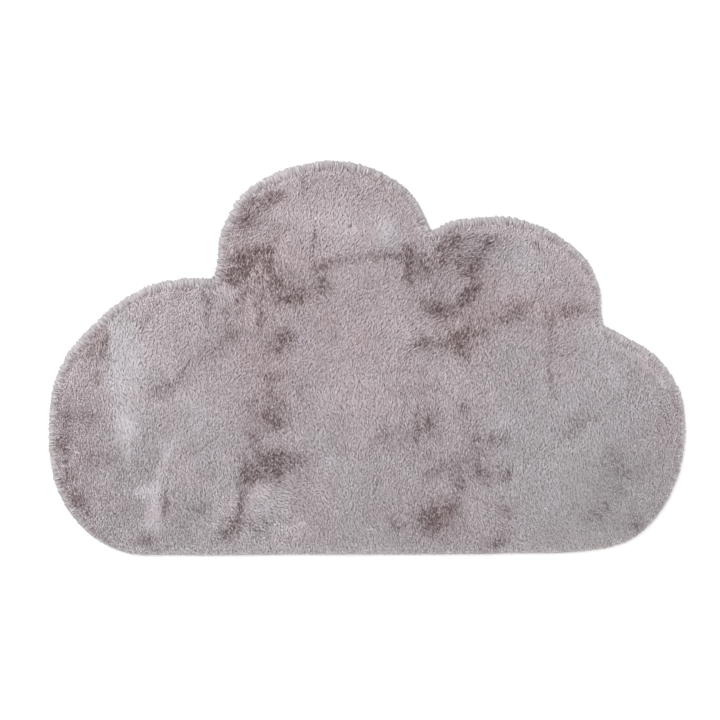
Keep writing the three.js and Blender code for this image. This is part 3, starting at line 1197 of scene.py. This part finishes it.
class RUG_OT_pile(bpy.types.Operator):
    """Makes the pile as locks that gather into wisps and lean along the nap"""

    bl_idname = "rug.pile"
    bl_label = "Pile"

    def execute(self, context):
        settings = context.scene.rug_pile
        form = rug_form()
        rng = np.random.default_rng(7)
        x, y = lattice_places(settings.spacing, rng)
        # Where the pile lies away from the edge, its flank stands out past the cut edge
        kept = form.at(form.inset, x, y) > ROOT_INSET - FLANK * (1 - nap_over_edge(x, y))
        x, y = x[kept], y[kept]
        inset = form.at(form.inset, x, y)
        dark, light = shading(x, y)
        flat = pressed(light)
        loose = looseness(x, dark, flat)

        wisp_x, wisp_y = lattice_places(settings.wisp, rng)
        wisp = nearest_wisp(x, y, wisp_x, wisp_y)
        wisp_stray = rng.normal(0, WISP_STRAY, wisp_x.size)
        wisp_reach = settings.reach * rng.uniform(*WISP_REACH, wisp_x.size)
        wisp_lift = rng.normal(0, WISP_LIFT, wisp_x.size)
        wisp_tone = rng.normal(0, 1, wisp_x.size)
        focus = lean_over(wisp_x, wisp_y, wisp_reach, nap_at(wisp_x, wisp_y, wisp_stray), rng)

        nap = nap_at(x, y, (wisp_stray[wisp] + rng.normal(0, LOCK_STRAY, x.size)) * loose)
        reach = wisp_reach[wisp] * rng.uniform(*LOCK_REACH, x.size) * changed("reach", 1, dark, flat)
        tip = lean_over(x, y, reach, nap, rng)
        inside = smooth((inset - 10 * MM) / (15 * MM))
        pull = (settings.gather * inside * loose)[:, None] * np.array([1, 1, 0.5])
        tip = tip * (1 - pull) + focus[wisp] * pull
        lift = (wisp_lift[wisp] + rng.normal(0, LOCK_LIFT, x.size)) * loose
        tip[:, 2] += lift + FOLD_LIFT * (wisp_tone[wisp] - 0.6) * dark
        gap, push_x, push_y = parted(x, y)
        tip += np.stack([push_x * PARTING_PUSH, push_y * PARTING_PUSH, -PARTING_DEPTH * gap], 1)

        bed = GROUND_TOP + UNDERFUR_SHARE * (form.at(form.tops, x, y) - GROUND_TOP) - ROOT_SUNK
        edge_bed = GROUND_TOP + rng.uniform(0, 1, x.size) * np.clip(inset + FLANK, *FLANK_HEIGHT)
        root_z = np.where(inset < SHOULDER_INSET + 2 * MM, edge_bed, bed)
        root = np.stack([x, y, root_z], 1)
        width = settings.width * rng.uniform(*LOCK_WIDTH, x.size) * changed("width", 1, dark, flat)
        ridge = RIDGE * width * changed("ridge", 1, dark, flat)
        twist = rng.uniform(-LOCK_TWIST, LOCK_TWIST, x.size) * loose

        tone, warmth = pile_look(x, y)
        # A parting is darkened with painted shade, and in folds the random spread of each wisp and lock
        # widens as part of their painted shade
        tone += wisp_tone[wisp] * (WISP_TONE[0] * loose + WISP_TONE[1] * dark) + PARTING_SHADE_TONE * gap
        tone += rng.normal(0, 1, x.size) * (LOCK_TONE[0] * loose + LOCK_TONE[1] * dark)
        warmth += rng.normal(0, LOCK_WARMTH, x.size)
        look = np.clip(np.stack([tone, warmth], 1), 0, 1)
        material = fur_material()
        for number, part in enumerate(np.array_split(np.argsort(x), settings.strips), 1):
            locks = (root[part], tip[part], width[part], ridge[part], twist[part])
            mesh = joined_locks(f"pile_{number}", locks, look[part])
            new_piece(f"pile_{number}", mesh, material)
        return {"FINISHED"}


class RUG_OT_fringe(bpy.types.Operator):
    """Makes the fur that leans out past the cut edge and droops, in small wisps"""

    bl_idname = "rug.fringe"
    bl_label = "Fringe"

    def execute(self, context):
        settings = context.scene.rug_fringe
        form = rug_form()
        rng = np.random.default_rng(11)
        loop, runs = edge_runs()

        def along_edge(place):
            place = place % runs[-1]
            return np.interp(place, runs, loop[:, 0]), np.interp(place, runs, loop[:, 1])

        count = round(runs[-1] / settings.wisp)
        wisp_at = (np.arange(count) + rng.uniform(-PLACE_STRAY, PLACE_STRAY, count)) * runs[-1] / count
        wisp_reach = np.clip(rng.normal(1.06, 0.08, count), *FRINGE_REACH)
        wisp = np.repeat(np.arange(count), settings.locks)
        spread = rng.uniform(-FRINGE_SPREAD, FRINGE_SPREAD, wisp.size)
        root_x, root_y = along_edge(wisp_at[wisp] + spread * settings.wisp)
        out_x, out_y = form.outward(root_x, root_y)
        depth = rng.uniform(*FRINGE_DEPTH, wisp.size) * MM
        height = rng.uniform(0, 1, wisp.size)
        root_z = GROUND_TOP + height * FRINGE_HEIGHT
        root = np.stack([root_x - out_x * depth, root_y - out_y * depth, root_z], 1)

        tip_x, tip_y = along_edge(wisp_at[wisp] + spread * settings.wisp * (1 - settings.gather))
        out_x, out_y = form.outward(tip_x, tip_y)
        # A wisp's middle reaches furthest, and the flank of the pile hides the fringe where the nap points in
        reach = form.overhang(tip_x, tip_y) * wisp_reach[wisp]
        reach = reach * (1 - 0.25 * np.abs(spread) ** 1.5) * rng.uniform(0.85, 1, wisp.size)
        over = nap_over_edge(tip_x, tip_y)
        reach = reach - 1 * MM * (1 - over)
        tip_z = LOCK_TIP * (0.35 + 0.9 * height) + rng.normal(0, LOCK_LIFT, wisp.size)
        tip_z = np.maximum(tip_z, LOWEST_TIP)
        tip = np.stack([tip_x + out_x * reach, tip_y + out_y * reach, tip_z], 1)

        tone, warmth = pile_look(root_x, root_y)
        tone = FRINGE_TONE + FRINGE_OVER_TONE * over + PILE_TO_FRINGE["tone"] * tone
        tone += rng.normal(0, FRINGE_LOCK_TONE, wisp.size)
        warmth = FRINGE_WARMTH + PILE_TO_FRINGE["warmth"] * warmth + rng.normal(0, LOCK_WARMTH, wisp.size)
        look = np.clip(np.stack([tone, warmth], 1), 0, 1)
        width = settings.width * rng.uniform(*LOCK_WIDTH, wisp.size)
        twist = rng.uniform(-LOCK_TWIST, LOCK_TWIST, wisp.size)
        locks = (root, tip, width, RIDGE * width, twist)
        mesh = joined_locks("rim_fringe", locks, look, bend=rng.uniform(*FRINGE_BEND, wisp.size))
        new_piece("rim_fringe", mesh, fur_material())
        return {"FINISHED"}


class RUG_OT_stage(bpy.types.Operator):
    """Makes the floor, the studio light and the camera"""

    bl_idname = "rug.stage"
    bl_label = "Stage"

    def execute(self, context):
        scene = context.scene
        settings = scene.rug_stage
        plane = bmesh.new()
        bmesh.ops.create_grid(plane, x_segments=1, y_segments=1, size=12)
        bmesh.ops.translate(plane, verts=plane.verts, vec=(0, 0, -0.2 * MM))
        floor = bpy.data.objects.new("floor", mesh_of("floor", plane))
        scene.collection.objects.link(floor)
        material, tree = new_material("matt floor paint")
        paint = {"Base Color": with_alpha(settings.floor), "Roughness": 0.9, "Specular IOR Level": 0.1}
        finish_material(tree, add_node(tree, "ShaderNodeBsdfPrincipled", paint))
        floor.data.materials.append(material)

        world = bpy.data.worlds.new("studio")
        world.use_nodes = True
        sky = world.node_tree.nodes["Background"]
        sky.inputs["Color"].default_value = (1, 1, 1, 1)
        sky.inputs["Strength"].default_value = settings.daylight
        scene.world = world
        for lamp in LAMPS:
            self.add_light(*lamp)

        low, high = CAD_BOX
        metres_per_px = (high.x - low.x) / RUG_LONG_PX
        camera = bpy.data.cameras.new("camera")
        camera.sensor_width = 36
        camera.lens = camera.sensor_width * settings.camera_height / (PHOTO_PX * metres_per_px)
        place = bpy.data.objects.new("camera", camera)
        place.location = (
            (PHOTO_PX / 2 - RUG_MIDDLE_PX[0]) * metres_per_px,
            (RUG_MIDDLE_PX[1] - PHOTO_PX / 2) * metres_per_px,
            settings.camera_height,
        )
        scene.collection.objects.link(place)
        scene.camera = place
        scene.view_settings.view_transform = "Standard"
        return {"FINISHED"}

    def add_light(self, name, place, size, watts):
        light = bpy.data.lights.new(name, "AREA")
        light.shape = "DISK"
        light.size = size
        light.energy = watts
        lamp = bpy.data.objects.new(name, light)
        lamp.location = place
        lamp.rotation_mode = "QUATERNION"
        lamp.rotation_quaternion = (-Vector(place)).to_track_quat("-Z", "Y")
        bpy.context.scene.collection.objects.link(lamp)


class RUG_PT_panel(bpy.types.Panel):
    """Lists the steps that make the rug"""

    bl_idname = "RUG_PT_panel"
    bl_label = "Cloud rug"
    bl_space_type = "VIEW_3D"
    bl_region_type = "UI"
    bl_category = "Cloud rug"

    def draw(self, context):
        for step in STEPS:
            self.layout.operator(step.bl_idname)


STEPS = [RUG_OT_ground, RUG_OT_underfur, RUG_OT_pile, RUG_OT_fringe, RUG_OT_stage]
SETTINGS = {
    "rug_ground": RugGroundSettings,
    "rug_pile": RugPileSettings,
    "rug_fringe": RugFringeSettings,
    "rug_stage": RugStageSettings,
}


def register():
    for kind in [*SETTINGS.values(), *STEPS, RUG_PT_panel]:
        bpy.utils.register_class(kind)
    for name, kind in SETTINGS.items():
        setattr(bpy.types.Scene, name, PointerProperty(type=kind))


def unregister():
    for name in SETTINGS:
        delattr(bpy.types.Scene, name)
    for kind in reversed([*SETTINGS.values(), *STEPS, RUG_PT_panel]):
        bpy.utils.unregister_class(kind)


def main():
    register()
    bpy.ops.rug.ground()
    bpy.ops.rug.underfur()
    bpy.ops.rug.pile()
    bpy.ops.rug.fringe()
    bpy.ops.rug.stage()


if __name__ == "__main__":
    main()
